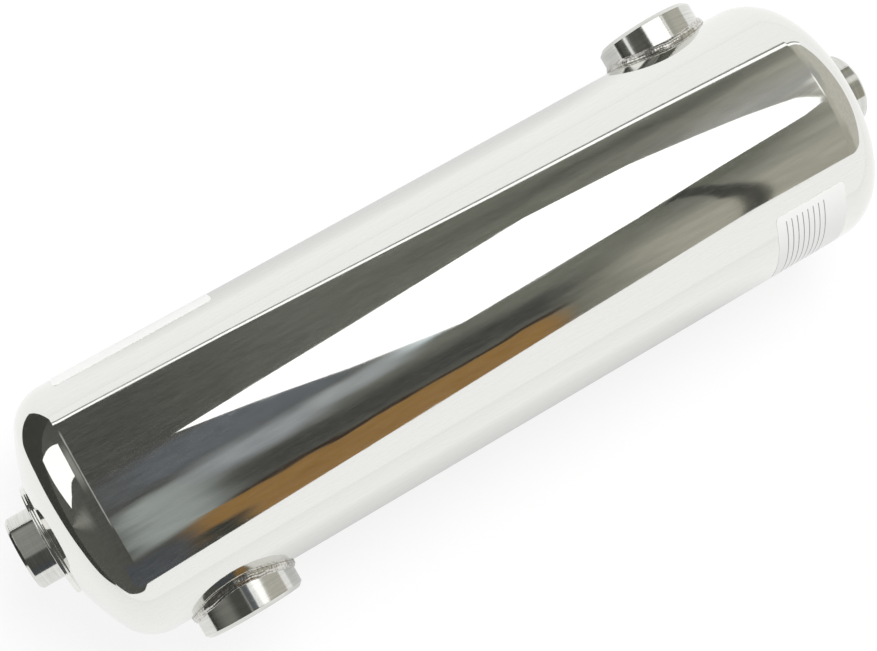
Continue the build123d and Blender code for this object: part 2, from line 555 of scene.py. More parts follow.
def make_piece(
    name: str, surfaces: list[Surface], finishes: list[Finish]
) -> bpy.types.Object:
    """Joins surfaces into one smooth mesh at the origin and lets it ride on the root body.

    Points closer than a micrometre become one vertex, and each face corner keeps the normal
    of its own surface, so edges between surfaces stay crisp.

    Args:
        name: The piece's name.
        surfaces: Its surfaces, in millimetres.
        finishes: The finishes that the surfaces' numbers pick from.

    Returns:
        The new mesh object.
    """
    surfaces = [s.wound() for s in surfaces]
    points = np.concatenate([s.points.reshape(-1, 3) for s in surfaces])
    normals = np.concatenate([s.normals.reshape(-1, 3) for s in surfaces])
    starts = np.cumsum([0] + [s.points.shape[0] * s.points.shape[1] for s in surfaces[:-1]])
    faces = np.concatenate([s.faces() + start for s, start in zip(surfaces, starts)])
    finish = np.concatenate([np.full(len(s.faces()), s.finish) for s in surfaces])
    keys = np.floor(points / WELD_GRAIN + GRAIN_SHIFT).astype(np.int64)
    _, first, merged = np.unique(keys, axis=0, return_index=True, return_inverse=True)
    mesh = bpy.data.meshes.new(name)
    mesh.from_pydata(points[first] * MM, [], merged.reshape(-1)[faces])
    for each in finishes:
        mesh.materials.append(each.material())
    mesh.polygons.foreach_set("material_index", finish.astype(np.int32))
    mesh.shade_smooth()
    mesh.normals_split_custom_set(normals[faces.reshape(-1)])
    mesh.update()
    piece = bpy.data.objects.new(name, mesh)
    bpy.context.scene.collection.objects.link(piece)
    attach(piece, "root")
    log.info("%s: %d faces", name, len(faces))
    return piece


@dataclass
class Outline:
    """An outline in (along, out) millimetres, walked with the metal on its left.

    Each span is a run of points with their outward normals and the number of its finish. Spans
    meet end to end, and an edge between two of them is as sharp as their directions make it.
    """

    spans: list[tuple[Array, Array, int]] = field(default_factory=list)
    finish: int = 0

    def line(self, start: Pair, end: Pair, steps: int = 1) -> Outline:
        """Adds a straight span. Its normal is its direction turned a quarter to the right.

        Args:
            start: Its first point.
            end: Its last point.
            steps: How many faces it gets.

        Returns:
            The outline, so that calls chain.
        """
        share = shares(steps)
        a, b = np.array(start, float), np.array(end, float)
        direction = (b - a) / np.linalg.norm(b - a)
        normal = np.tile([direction[1], -direction[0]], (steps + 1, 1))
        self.spans.append((a + (b - a) * share, normal, self.finish))
        return self

    def arc(self, centre: Pair, radius: float, start: float, end: float, steps: int) -> Outline:
        """Adds a round span between two angles in radians.

        A point is the centre plus the radius times (cos, sin). Walked anticlockwise the span
        bulges out of the metal, and clockwise it hollows it.

        Args:
            centre: The arc's centre.
            radius: Its radius.
            start: Angle of its first point.
            end: Angle of its last point.
            steps: How many faces it gets.

        Returns:
            The outline, so that calls chain.
        """
        angle = np.linspace(start, end, steps + 1)
        radial = np.stack([np.cos(angle), np.sin(angle)], axis=-1)
        normal = radial * np.sign(end - start)
        self.spans.append((np.array(centre) + radius * radial, normal, self.finish))
        return self

    def rounded(self, corners: list[Triple], steps: int = 5) -> Outline:
        """Adds the run through corners, each given as (along, out, radius of its rounding).

        A corner's arc touches both of its sides. It starts the radius times the tangent of half
        the turn before the corner, and its centre lies the radius to the side of the turn.

        Args:
            corners: The run's corners. The first and last are its ends, and stay as they are.
            steps: Faces on each rounding.

        Returns:
            The outline, so that calls chain.
        """
        places = np.array([c[:2] for c in corners], float)
        last = places[0]
        radii = [corner[2] for corner in corners[1:-1]]
        for before, here, after, radius in zip(places, places[1:], places[2:], radii):
            into, away = unit(here - before), unit(after - here)
            turn = math.atan2(into[0] * away[1] - into[1] * away[0], float(into @ away))
            side = math.copysign(1, turn)
            start = here - into * radius * math.tan(abs(turn) / 2)
            centre = start + side * radius * np.array([-into[1], into[0]])
            angle = math.atan2(*(start - centre)[::-1])
            self.line(tuple(last), tuple(start))
            self.arc(tuple(centre), radius, angle, angle + turn, steps)
            last = here + away * radius * math.tan(abs(turn) / 2)
        return self.line(tuple(last), tuple(places[-1]))


@dataclass(frozen=True)
class Spindle:
    """An axis that pieces are turned about: a point on it and three directions at right angles."""

    origin: Array
    along: Array
    across: Array
    up: Array

    @classmethod
    def at(cls, origin: Triple, along: Triple, across: Triple) -> Spindle:
        """A spindle whose third direction is straight up."""
        return cls(*(np.array(v, float) for v in (origin, along, across, (0, 0, 1))))

    def spread(self, along: Array, out: Array, turn: Array) -> Array:
        """Vector along·A + out·(cos turn·B + sin turn·C), for arrays that broadcast together.

        Args:
            along: Lengths along the axis.
            out: Distances from it.
            turn: Turns about it in radians, from B towards C.

        Returns:
            The vectors, in the arrays' common shape.
        """
        along, out, turn = np.broadcast_arrays(along, out, turn)
        radial = np.cos(turn)[..., None] * self.across + np.sin(turn)[..., None] * self.up
        return along[..., None] * self.along + out[..., None] * radial

    def grid(self, along: Array, out: Array, turn: Array) -> Array:
        """Points at those places, measured from the spindle's origin."""
        return self.origin + self.spread(along, out, turn)

    def turned(self, outline: Outline, columns: int) -> list[Surface]:
        """Turns an outline about the axis.

        Args:
            outline: The outline.
            columns: Faces round the axis.

        Returns:
            A surface of revolution for each of its spans.
        """
        turn = turns(columns)
        made = []
        for points, normals, finish in outline.spans:
            place = self.grid(points[:, :1], points[:, 1:], turn)
            made.append(Surface(place, self.spread(normals[:, :1], normals[:, 1:], turn), finish))
        return made


# The exchanger's sub-assemblies


@dataclass(frozen=True)
class Layout:
    """Where things are, in millimetres, as the frame and its mounts say."""

    shell_radius: float
    half_shell: float
    pad_face_x: float
    end_mouth_x: float
    end_foot_x: float
    end_thread_radius: float
    side_port_x: float
    side_mouth_y: float
    side_thread_radius: float
    floor_z: float

    @classmethod
    def from_frame(cls) -> Layout:
        """Reads the flat faces from the frame's boxes and the axes from its mounts.

        Returns:
            The layout.
        """
        mounts = {m["name"]: m for m in frame["record"]["mounts"]}
        end, side = mounts["right_end_thread"], mounts["right_side_thread"]
        foot, mouth = (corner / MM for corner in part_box("right_end_socket"))
        return cls(
            shell_radius=end["pos_m"][2] / MM,
            half_shell=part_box("shell_tube")[1].x / MM,
            pad_face_x=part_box("right_head")[1].x / MM,
            end_mouth_x=mouth.x,
            end_foot_x=foot.x,
            end_thread_radius=end["dims"]["r_mm"],
            side_port_x=side["pos_m"][0] / MM,
            side_mouth_y=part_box("right_side_socket")[1].y / MM,
            side_thread_radius=side["dims"]["r_mm"],
            floor_z=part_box("shell_tube")[0].z / MM,
        )

    def grounded(self, points: Array) -> Array:
        """Points raised to the narrow flat that the ground seam leaves under the part."""
        return np.maximum(points, [-np.inf, -np.inf, self.floor_z])

    def end_spindle(self, side: Side) -> Spindle:
        """The shell's axis, facing out of one end."""
        sign = side.value
        return Spindle.at((0, 0, self.shell_radius), (sign, 0, 0), (0, sign, 0))

    def port_spindle(self, side: Side) -> Spindle:
        """A side socket's axis, from the shell's axis outwards.

        Args:
            side: The end of the shell that the socket stands near.

        Returns:
            The spindle.
        """
        sign = side.value
        origin = (sign * self.side_port_x, 0, self.shell_radius)
        return Spindle.at(origin, (0, sign, 0), (-sign, 0, 0))


@dataclass
class Shell:
    """The rolled shell: a round wall with a hole under each side socket.

    A point of the wall is (x, R·cos a, R·sin a). Round each hole the grid gives way to a patch
    whose rays run from the hole's edge to a square of grid lines.
    """

    layout: Layout
    wall: float = 1.5
    hole_radius: float = 24.2
    patch_half_length: float = 33.0
    columns: int = 256
    middle_rows: int = 5
    patch_half_columns: int = 20
    patch_rows: int = 40
    patch_rings: int = 7

    def lengths(self) -> Array:
        """Grid lines along the shell: close beside the holes and wide between them.

        Returns:
            Their lengths from the shell's middle, rising.
        """
        lay = self.layout
        near = lay.side_port_x - self.patch_half_length
        far = lay.side_port_x + self.patch_half_length
        middle = np.linspace(0, near, self.middle_rows)
        beside = np.linspace(near, far, self.patch_rows + 1)[1:]
        half = np.concatenate([middle, beside, [lay.half_shell]])
        return np.concatenate([-half[:0:-1], half])

    def wall_point(self, radius: float | Array, x: Array, angle: Array) -> Array:
        """Point of a round wall at a length and an angle from +Y towards +Z.

        Args:
            radius: The wall's radius.
            x: Lengths along the shell.
            angle: Angles in radians.

        Returns:
            Points, raised to the flat under the part.
        """
        radius, x, angle = np.broadcast_arrays(radius, x, angle)
        height = self.layout.shell_radius + radius * np.sin(angle)
        return self.layout.grounded(np.stack([x, radius * np.cos(angle), height], axis=-1))

    def wall_normal(self, x: Array, angle: Array) -> Array:
        """Unit normals of a round wall, away from the shell's axis."""
        return self.wall_point(1.0, 0 * x, angle) - [0, 0, self.layout.shell_radius]

    def skin(self, radius: float, finish: int) -> list[Surface]:
        """One face of the wall, outward, as grid strips and the two patches.

        Args:
            radius: The face's radius.
            finish: The number of its finish.

        Returns:
            Surfaces that leave the two holes open.
        """
        lengths = self.lengths()
        angles = np.linspace(-math.pi, math.pi, self.columns + 1)
        step = FULL_TURN / self.columns
        port = self.layout.side_port_x
        half = self.patch_half_length
        made = []
        for side in Side:
            middle = (1 - side.value) * math.pi / 2
            rows = np.flatnonzero(np.abs(lengths - side.value * port) < half + SLACK)
            first, last = self.patch_half_columns, self.columns - self.patch_half_columns
            around = middle + step * np.arange(first, last + 1)
            made.append(self.strip(radius, lengths[rows], around, finish))
            made.append(self.patch(radius, side, lengths[rows], middle, finish))
            end = lengths[[rows[-1], -1]] if side is Side.RIGHT else lengths[[0, rows[0]]]
            made.append(self.strip(radius, end, angles, finish))
        between = lengths[np.abs(lengths) < port - half + SLACK]
        made.append(self.strip(radius, between, angles, finish))
        return made

    def strip(self, radius: float, lengths: Array, angles: Array, finish: int) -> Surface:
        """Part of a face between grid lines, facing away from the axis."""
        x, angle = lengths[None, :], angles[:, None]
        return Surface(self.wall_point(radius, x, angle), self.wall_normal(x, angle), finish)

    def patch(self, radius: float, side: Side, rows: Array, middle: float, finish: int) -> Surface:
        """Part of a face round one hole.

        A ray's first point lies on the hole's edge, x = r·cos t and height = r·sin t. Its last
        one is where the ray meets the square, and the points between share the way evenly.

        Args:
            radius: The face's radius.
            side: Which hole.
            rows: Grid lines along the shell that the square spans.
            middle: Angle of the hole's middle.
            finish: The number of its finish.

        Returns:
            The patch, with its last column on its first.
        """
        half = self.patch_half_columns
        across = rows - side.value * self.layout.side_port_x
        around = FULL_TURN / self.columns * np.arange(-half, half + 1)
        start, end = np.full_like(around, across[0]), np.full_like(around, across[-1])
        low, high = np.full_like(across, around[0]), np.full_like(across, around[-1])
        edge = np.concatenate(
            [
                np.stack([end, around], -1)[half:-1],
                np.stack([across, high], -1)[:0:-1],
                np.stack([start, around], -1)[:0:-1],
                np.stack([across, low], -1)[:-1],
                np.stack([end, around], -1)[: half + 1],
            ]
        )
        turn = np.arctan2(edge[:, 1] * radius, edge[:, 0])
        rise = np.arcsin(self.hole_radius * np.sin(turn) / radius)
        hole = np.stack([self.hole_radius * np.cos(turn), rise], -1)
        share = shares(self.patch_rings)[..., None]
        flat = hole + (edge - hole) * share
        x = side.value * self.layout.side_port_x + flat[..., 0]
        angle = middle + flat[..., 1]
        return Surface(self.wall_point(radius, x, angle), self.wall_normal(x, angle), finish)

    def build(self) -> bpy.types.Object:
        """Joins the outer and inner faces by the end rims and the holes' edges.

        Returns:
            The shell.
        """
        radii = self.layout.shell_radius, self.layout.shell_radius - self.wall
        outer = self.skin(radii[0], 0)
        inner = [Surface(s.points, -s.normals, 1) for s in self.skin(radii[1], 1)]
        is_patch = [s.points.shape[0] == self.patch_rings + 1 for s in outer]
        edges = [self.hole_edge(*pair) for *pair, patch in zip(outer, inner, is_patch) if patch]
        turn = np.linspace(-math.pi, math.pi, self.columns + 1)
        for side in Side:
            end = np.full((2, 1), side.value * self.layout.half_shell)
            points = self.wall_point(np.array(radii)[:, None], end, turn[None, :])
            edges.append(Surface(points, np.tile([float(side.value), 0, 0], (2, turn.size, 1)), 1))
        return make_piece("shell_polished", outer + inner + edges, [MIRROR, MILL])

    def hole_edge(self, near: Surface, far: Surface) -> Surface:
        """The cut edge of a hole, facing the hole's axis.

        Args:
            near: The outer face's patch round the hole.
            far: The inner face's.

        Returns:
            The edge, from the outer face to the inner one.
        """
        points = np.stack([near.points[0], far.points[0]])
        normals = near.points[0, :-1].mean(axis=0) - points
        normals[..., 1] = 0
        return Surface(points, unit(normals), 1)


@dataclass
class Head:
    """A dished head: knuckle, crown and the raised flat pad that carries the end socket."""

    layout: Layout
    wall: float = 1.5
    crown_radius: float = 119.7
    knuckle_radius: float = 22.6
    pad_radius: float = 28.75
    pad_thickness: float = 3.0
    pad_edge: float = 0.8
    pad_root: float = 1.1
    neck_radius: float = 18.75
    columns: int = 256
    pad_steps: int = 6
    crown_steps: int = 22
    knuckle_steps: int = 26
    inner_crown_steps: int = 10
    inner_knuckle_steps: int = 12

    def outline(self) -> Outline:
        """Closed outline, from the neck out over the pad, crown and knuckle and back inside.

        The knuckle's circle touches the shell's wall, and the crown's circle, centred on the
        axis, touches the knuckle's. The pad's root is a small hollow arc that touches the pad's
        side and the crown.

        Returns:
            The outline, with the outside in the first finish and the inside in the second.
        """
        rim, shell = self.layout.half_shell, self.layout.shell_radius
        ring = shell - self.knuckle_radius
        tangent = math.asin(ring / (self.crown_radius - self.knuckle_radius))
        centre = rim - (self.crown_radius - self.knuckle_radius) * math.cos(tangent)
        face, back = self.layout.pad_face_x, self.layout.pad_face_x - self.pad_thickness
        inner_radius = self.crown_radius - self.wall
        back_angle = math.acos((back - centre) / inner_radius)
        back_out = inner_radius * math.sin(back_angle)
        root_out = self.pad_radius + self.pad_root
        root_angle = math.asin(root_out / (self.crown_radius + self.pad_root))
        root_along = centre + (self.crown_radius + self.pad_root) * math.cos(root_angle)
        edge = self.pad_radius - self.pad_edge
        quarter = math.pi / 2
        made = Outline()
        made.line((face, self.neck_radius), (face, edge), 2)
        made.arc((face - self.pad_edge, edge), self.pad_edge, 0, quarter, self.pad_steps)
        made.line((face - self.pad_edge, self.pad_radius), (root_along, self.pad_radius))
        root = (root_along, root_out)
        made.arc(root, self.pad_root, -quarter, root_angle - math.pi, self.pad_steps)
        made.arc((centre, 0), self.crown_radius, root_angle, tangent, self.crown_steps)
        made.arc((rim, ring), self.knuckle_radius, tangent, quarter, self.knuckle_steps)
        made.finish = 1
        made.line((rim, shell), (rim, shell - self.wall))
        inner_knuckle = self.knuckle_radius - self.wall
        made.arc((rim, ring), inner_knuckle, quarter, tangent, self.inner_knuckle_steps)
        made.arc((centre, 0), inner_radius, tangent, back_angle, self.inner_crown_steps)
        made.line((back, back_out), (back, self.neck_radius))
        made.line((back, self.neck_radius), (face, self.neck_radius))
        return made

    def build(self, side: Side) -> None:
        """Turns the outline about the shell's axis and puts the head in place of the plain one.

        Args:
            side: The shell's end that it closes.
        """
        surfaces = self.layout.end_spindle(side).turned(self.outline(), self.columns)
        for surface in surfaces:
            surface.points = self.layout.grounded(surface.points)
        piece = make_piece(f"{side.label}_head_polished", surfaces, [MIRROR, MILL])
        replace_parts(piece, f"{side.label}_head")


@dataclass(frozen=True)
class PipeThread:
    """A parallel pipe thread: 55 degree flanks with rounded crests and roots."""

    minor_radius: float
    depth: float = 1.479
    pitch: float = 2.309
    rounding: float = 0.55

    def radius(self, along: Array, turn: Array) -> Array:
        """Radius at a place: minor plus depth times a rounded triangle wave of the phase.

        The phase is the length in pitches less the turn in circles, so that the ridge climbs
        one pitch a turn.

        Args:
            along: Lengths along the thread.
            turn: Turns about it in radians.

        Returns:
            The radii.
        """
        phase = along / self.pitch - turn / FULL_TURN
        sharp = np.abs(2 * (phase - np.floor(phase)) - 1)
        smooth = 0.5 - 0.5 * np.cos(math.pi * sharp)
        return self.minor_radius + self.depth * (sharp + self.rounding * (smooth - sharp))


@dataclass
class Socket:
    """A turned ring with a threaded bore: what the two kinds of socket share."""

    layout: Layout
    outer_radius: float
    chamfer: float
    columns: int = 144
    rows_each_pitch: int = 12
    edge: float = 0.25
    land: float = 1.0
    flare_margin: float = 0.2

    def bore(self, spindle: Spindle, thread: PipeThread, foot: float, mouth: float) -> Surface:
        """Threaded bore from foot to mouth, opened by a 45 degree flare at the mouth.

        The radius is the larger of the thread's and the flare's.

        Args:
            spindle: The socket's axis.
            thread: The thread in the bore.
            foot: Where the bore starts along the spindle.
            mouth: Where it ends.

        Returns:
            The bore's surface, facing its axis.
        """
        rows = int((mouth - foot) / thread.pitch * self.rows_each_pitch) + 1
        along = np.linspace(foot, mouth, rows)[:, None]
        turn = turns(self.columns)
        flare = self.mouth_radius(thread) - (mouth - along)
        out = np.maximum(thread.radius(along, turn), flare)
        out[:, -1] = out[:, 0]
        points = spindle.grid(along, out, turn)
        return Surface(points, ring_normals(points), 1)

    def mouth_radius(self, thread: PipeThread) -> float:
        """Radius of the bore's rim, a little over the thread's major radius."""
        return thread.minor_radius + thread.depth + self.flare_margin

    def rim(self, thread: PipeThread, mouth: float) -> list[Triple]:
        """Corners from the bore's rim over the mouth's chamfer to the outside.

        Args:
            thread: The thread in the bore.
            mouth: Where the mouth lies along the spindle.

        Returns:
            The corners, each with the radius of its rounding.
        """
        return [
            (mouth, self.mouth_radius(thread), 0),
            (mouth, self.outer_radius - self.chamfer, self.edge),
            (mouth - self.chamfer, self.outer_radius, self.edge),
        ]

    def ledge(self, spindle: Spindle, first: Array, second: Array, finish: int) -> Surface:
        """A flat ring between two rows of points, facing back along the spindle."""
        normals = np.tile(-spindle.along, (2, self.columns + 1, 1))
        return Surface(np.concatenate([first, second]), normals, finish)


@dataclass
class EndSocket(Socket):
    """Half of a 1 in pipe socket, standing out of a head's pad, for the heating water."""

    outer_radius: float = 18.7
    chamfer: float = 1.4

    def build(self, side: Side) -> None:
        """Turns the ring, cuts its thread and puts it in place of the plain one.

        Args:
            side: The shell's end that it stands on.
        """
        lay = self.layout
        spindle = lay.end_spindle(side)
        thread = PipeThread(lay.end_thread_radius)
        foot, mouth = lay.end_foot_x, lay.end_mouth_x
        sides = [(foot, self.outer_radius, self.edge), (foot, self.outer_radius - self.land, 0)]
        ring = Outline().rounded([*self.rim(thread, mouth), *sides])
        surfaces = spindle.turned(ring, self.columns)
        bore = self.bore(spindle, thread, foot, mouth)
        face = self.ledge(spindle, surfaces[-1].points[-1:], bore.points[:1], 0)
        piece = make_piece(
            f"{side.label}_end_socket_turned",
            [*surfaces, face, bore],
            [END_RING, THREAD],
        )
        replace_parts(piece, f"{side.label}_end_socket")


@dataclass
class SideSocket(Socket):
    """A 1 1/2 in threaded ring whose foot is cut to a saddle, for the pool water."""

    outer_radius: float = 26.4025
    chamfer: float = 2.0
    relief_radius: float = 24.2
    relief_reach: float = 67.4
    seat_gap: float = 0.05
    wall_rows: int = 10

    def seat(self, out: Array, turn: Array) -> Array:
        """Reach at which the foot meets the shell: a round wall's √(R² − (out·sin turn)²)."""
        radius = self.layout.shell_radius + self.seat_gap
        return np.sqrt(radius**2 - (out * np.sin(turn)) ** 2)

    def build(self, side: Side) -> None:
        """Turns the ring, shapes its saddle foot, cuts its thread and puts it in place.

        Args:
            side: The end of the shell that it stands near.
        """
        lay = self.layout
        spindle = lay.port_spindle(side)
        thread = PipeThread(lay.side_thread_radius)
        mouth = lay.side_mouth_y
        shoulder = mouth - self.chamfer - self.land
        ring = Outline().rounded([*self.rim(thread, mouth), (shoulder, self.outer_radius, 0)])
        surfaces = spindle.turned(ring, self.columns)
        turn = turns(self.columns)
        share = shares(self.wall_rows)
        foot = self.seat(self.outer_radius, turn)
        wall = spindle.grid(shoulder + (foot - shoulder) * share, self.outer_radius, turn)
        normals = spindle.spread(0 * share, np.ones_like(share), turn)
        out = self.outer_radius + (self.relief_radius - self.outer_radius) * share
        saddle = spindle.grid(self.seat(out, turn), out, turn)
        reach = self.seat(self.relief_radius, turn)
        relief = spindle.grid(reach + (self.relief_reach - reach) * share, self.relief_radius, turn)
        bore = self.bore(spindle, thread, self.relief_reach, mouth)
        surfaces += [
            Surface(wall, normals),
            Surface(saddle, ring_normals(saddle)),
            Surface(relief, -normals, 1),
            self.ledge(spindle, relief[-1:], bore.points[:1], 1),
            bore,
        ]
        name = f"{side.label}_side_socket_turned"
        piece = make_piece(name, surfaces, [SIDE_RING, THREAD])
        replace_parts(piece, f"{side.label}_side_socket")


@dataclass
class WeldBead:
    """A hand-laid fillet weld round a side socket's foot.

    In its section a corner lies at the socket's wall and the shell, and the outer face runs from
    a toe on the shell to a toe on the socket as a flattened quarter of an ellipse. Two or three
    uneven passes run along the seam as low ridges, and faint ripples cross them, each a shallow
    arch that overlaps the last and trails towards both toes.
    """

    layout: Layout
    root_radius: float = 26.45
    gap: float = 0.05
    shell_leg: float = 1.5
    socket_leg: float = 3.1
    flatness: float = 1.25
    passes: float = 2.6
    pass_height: float = 0.24
    pass_wander: float = 0.1
    ripple_pitch: float = 1.6
    ripple_height: float = 0.06
    ripple_spread: float = 0.16
    ripple_trail: float = 0.45
    ripple_bow: float = 0.95
    toe_fade: float = 0.6
    wander: float = 0.1
    wander_limit: float = 0.3
    socket_wander: float = 0.4
    waves: tuple[int, int] = (2, 24)
    samples_each_ripple: int = 8
    rows: int = 22
    seed: int = 7

    def build(self, side: Side) -> None:
        """Carries the section round the foot and puts the bead in place of the plain one.

        Args:
            side: The end of the shell that the socket stands near.
        """
        rng = np.random.default_rng(self.seed + side.value)
        count = round(FULL_TURN * self.root_radius / self.ripple_pitch)
        turn = turns(count * self.samples_each_ripple)
        waves = np.arange(*self.waves)[:, None, None]
        shifts = rng.uniform(0, FULL_TURN, (3, waves.size, 1, 1))
        drift = (np.sin(waves * turn + shifts) / np.sqrt(waves)).sum(axis=1)
        wobble = np.clip(drift * self.wander, -self.wander_limit, self.wander_limit)
        share = shares(self.rows)
        quarter = share * math.pi / 2
        uneven = rng.normal(0, self.ripple_spread, count)
        phase = turn / FULL_TURN * count + self.ripple_trail * (2 * share - 1) ** 2
        number = np.floor(phase).astype(int) % count
        arch = np.sqrt(1 - (2 * (phase - np.floor(phase)) - 1) ** 2 * self.ripple_bow)
        ridge = 0.5 + 0.5 * np.cos(FULL_TURN * (self.passes * share + self.pass_wander * drift[2]))
        lift = self.pass_height * ridge + self.ripple_height * (arch + uneven[number])
        lift = lift * np.sin(math.pi * share) ** self.toe_fade
        out_leg = self.shell_leg * (1 + wobble[0]) * np.cos(quarter) ** self.flatness
        up_leg = self.socket_leg * (1 + self.socket_wander * wobble[1])
        up_leg = up_leg * np.sin(quarter) ** self.flatness
        out_leg = np.where(share == 1, 0, out_leg + lift * np.cos(quarter))
        up_leg = np.where(share == 0, 0, up_leg + lift * np.sin(quarter))
        face = self.place(side, out_leg, up_leg, turn)
        corner = self.place(side, 0 * out_leg[:1], 0 * up_leg[:1], turn)
        surfaces = [Surface(face, ring_normals(face))]
        for first, last in ((face[-1:], corner), (corner, face[:1])):
            hidden = np.concatenate([first, (first + last) / 2, last])
            surfaces.append(Surface(hidden, ring_normals(hidden)))
        piece = make_piece(f"{side.label}_side_weld_bead", surfaces, [WELD])
        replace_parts(piece, f"{side.label}_side_weld")

    def place(self, side: Side, out_leg: Array, up_leg: Array, turn: Array) -> Array:
        """Points at distances from the socket's wall and from the shell's face.

        The distance from the shell's axis is kept by a reach of √(d² − (out·sin turn)²).

        Args:
            side: The end of the shell that the socket stands near.
            out_leg: Distances from the socket's wall.
            up_leg: Distances from the shell's face.
            turn: Turns about the socket's axis in radians.

        Returns:
            The points, with the last column on the first.
        """
        out = self.root_radius + out_leg
        depth = self.layout.shell_radius + self.gap + up_leg
        reach = np.sqrt(depth**2 - (out * np.sin(turn)) ** 2)
        points = self.layout.port_spindle(side).grid(reach, out, turn)
        points[:, -1] = points[:, 0]
        return points


@dataclass
class TubeBundle:
    """Nineteen drawn tubes in a hexagon, with their sheets and baffles."""

    outer_radius: float = 8.0
    wall: float = 0.8
    columns: int = 48
    rows: int = 8
    tubes: int = 19
    baffles: int = 3

    def build(self) -> None:
        """Replaces each tube by a smooth one and dresses the plates."""
        for number in range(1, self.tubes + 1):
            self.tube(f"tube_{number:02d}")
        sheets = [f"{side.label}_tube_sheet" for side in Side]
        for name in [*sheets, *(f"baffle_{n}" for n in range(1, self.baffles + 1))]:
            node = frame["nodes"][name]
            for place in node.material_slots:
                place.material = PLATE.material()
            log.info("%s: cut plate finish", name)

    def tube(self, name: str) -> None:
        """One drawn tube, turned about the middle of its node's box.

        Args:
            name: The node that it replaces.
        """
        low, high = (np.array(corner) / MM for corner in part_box(name))
        spindle = Spindle.at((low + high) / 2 * [0, 1, 1], (1, 0, 0), (0, 1, 0))
        start, end = low[0], high[0]
        outer, inner = self.outer_radius, self.outer_radius - self.wall
        ring = (
            Outline()
            .line((end, inner), (end, outer))
            .line((end, outer), (start, outer), self.rows)
            .line((start, outer), (start, inner))
            .line((start, inner), (end, inner), self.rows)
        )
        piece = make_piece(f"{name}_drawn", spindle.turned(ring, self.columns), [DRAWN])
        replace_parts(piece, name)


@dataclass
class Sticker:
    """A bare label on the shell: a thin film with round corners, bent round the wall.

    A point of its outline's grid is (x, h(x)·t), where h is the half width less the corner's
    rounding near the ends. The second length is wrapped round the shell.
    """

    layout: Layout
    film: StickerFilm
    name: str
    middle_x: float
    middle_angle: float
    half_length: float
    half_width: float
    corner: float = 3.0
    glue_gap: float = 0.01
    thickness: float = 0.12
    columns: int = 40
    rows: int = 28

    def build(self) -> None:
        """Makes the film's face, back and edges as one closed piece."""
        turn = np.linspace(0, math.pi, self.columns + 1)
        x = -self.half_length * np.cos(turn)
        over = np.clip(np.abs(x) - (self.half_length - self.corner), 0, self.corner)
        half = self.half_width - self.corner + np.sqrt(self.corner**2 - over**2)
        share = np.linspace(-1, 1, self.rows + 1)[:, None]
        radius = self.layout.shell_radius
        angle = math.radians(self.middle_angle) + half[None, :] * share / radius
        normal = np.stack([0 * angle, np.cos(angle), np.sin(angle)], -1)
        x = np.broadcast_to(self.middle_x + x[None, :], angle.shape)
        axis = np.stack([x, 0 * x, np.full_like(x, radius)], -1)
        top = axis + normal * (radius + self.thickness)
        base = axis + normal * (radius + self.glue_gap)
        made = [Surface(top, normal), Surface(base, -normal)]
        middle = top.mean(axis=(0, 1))
        for pick in (np.s_[0, :], np.s_[-1, :], np.s_[:, 0], np.s_[:, -1]):
            outward = np.cross(unit(np.gradient(top[pick], axis=0)), normal[pick])
            outward *= np.sign((outward * (top[pick] - middle)).sum(-1, keepdims=True))
            made.append(Surface(np.stack([top[pick], base[pick]]), np.stack([outward, outward])))
        make_piece(self.name, made, [self.film])


# The studio and the camera


@dataclass(frozen=True)
class RoomTone:
    """A soft-edged area of the dim room that reflections show.

    A direction's length is its X component, and its turn is its angle in degrees from -Y over
    the zenith to +Y.
    """

    colour: str
    length: Pair
    turn: Pair
    blur: Pair = (0.05, 4.0)

    def mask(self, tree: Tree, length: Output, turn: Output) -> Node:
        """One inside both spans, falling smoothly to zero over the blur outside them.

        Args:
            tree: The world's node tree.
            length: X component of the direction.
            turn: Its angle in degrees.

        Returns:
            The node whose output is the mask.
        """
        mask: Node | float = 1.0
        for value, span, blur in zip((length, turn), (self.length, self.turn), self.blur):
            for edge, sign in zip(span, (1, -1)):
                fade = add_node(
                    tree,
                    "MapRange",
                    {"Value": value, "From Min": edge - sign * blur, "From Max": edge + sign * blur},
                    interpolation_type="SMOOTHSTEP",
                )
                mask = add_node(tree, "Math", {0: mask, 1: fade}, operation="MULTIPLY")
        return mask


